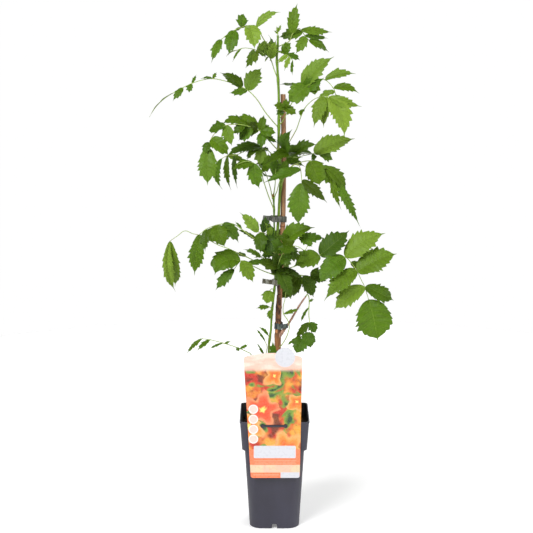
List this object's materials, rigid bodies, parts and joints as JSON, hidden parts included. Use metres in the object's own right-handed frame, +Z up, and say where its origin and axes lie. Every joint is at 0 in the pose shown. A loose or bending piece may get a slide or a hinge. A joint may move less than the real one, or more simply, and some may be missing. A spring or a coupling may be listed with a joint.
{
  "type": "potted trumpet vine",
  "caption": "Young trumpet vine tied to a bamboo cane in a tall square nursery pot, with compound toothed leaves and a hang label on the front.",
  "frame": {"origin": "on the standing surface, under the middle of the square pot's foot", "axes": "+Z up, the pot's front with the label faces -Y, +X to the right seen from the front"},
  "size_m": [0.4222, 0.192, 0.9103],
  "materials": {
    "pot": "satin",
    "soil": "matte",
    "label": "satin",
    "cane": "satin",
    "bark": "matte",
    "stem": "satin",
    "tie": "satin",
    "leaf": "satin"
  },
  "bodies": {
    "root": {"pot": "pot", "soil": "soil", "label": "label", "bamboo_cane": "cane", "woody_base": "bark", "main_stem": "stem", "front_stem": "stem", "tie_1": "tie", "tie_2": "tie", "tie_3": "tie", "tie_4": "tie", "leaf_crown_left": "leaf", "leaf_crown_right": "leaf", "leaf_upper_left": "leaf", "leaf_upper_right": "leaf", "shoot_tip": "leaf", "leaf_whip_left": "leaf", "leaf_right_upper": "leaf", "leaf_front_upper": "leaf", "leaf_right_drooping": "leaf", "leaf_right_middle": "leaf", "leaf_right_long": "leaf", "leaf_right_hanging": "leaf", "leaf_left_upper": "leaf", "leaf_left_inner": "leaf", "leaf_left_arching": "leaf", "leaf_front_top": "leaf", "leaf_front_top_left": "leaf", "leaf_front_top_right": "leaf", "leaf_left_sweeping": "leaf", "leaf_left_far": "leaf", "leaf_left_low": "leaf", "leaf_left_small": "leaf", "leaf_center_left": "leaf", "leaf_front_center": "leaf", "leaf_right_dome": "leaf", "leaf_right_thin": "leaf", "leaf_right_big": "leaf", "leaf_right_low": "leaf", "leaf_low_hanging": "leaf", "leaf_back_middle": "leaf", "leaf_back_low": "leaf", "stem_leaf_upper": "leaf", "stem_leaf_middle": "leaf", "stem_leaf_lower": "leaf", "basal_leaf_left": "leaf", "thin_shoot_right": "leaf", "trailing_shoot": "leaf", "basal_shoot_left": "leaf", "basal_leaf_center": "leaf"}
  },
  "joints": []
}
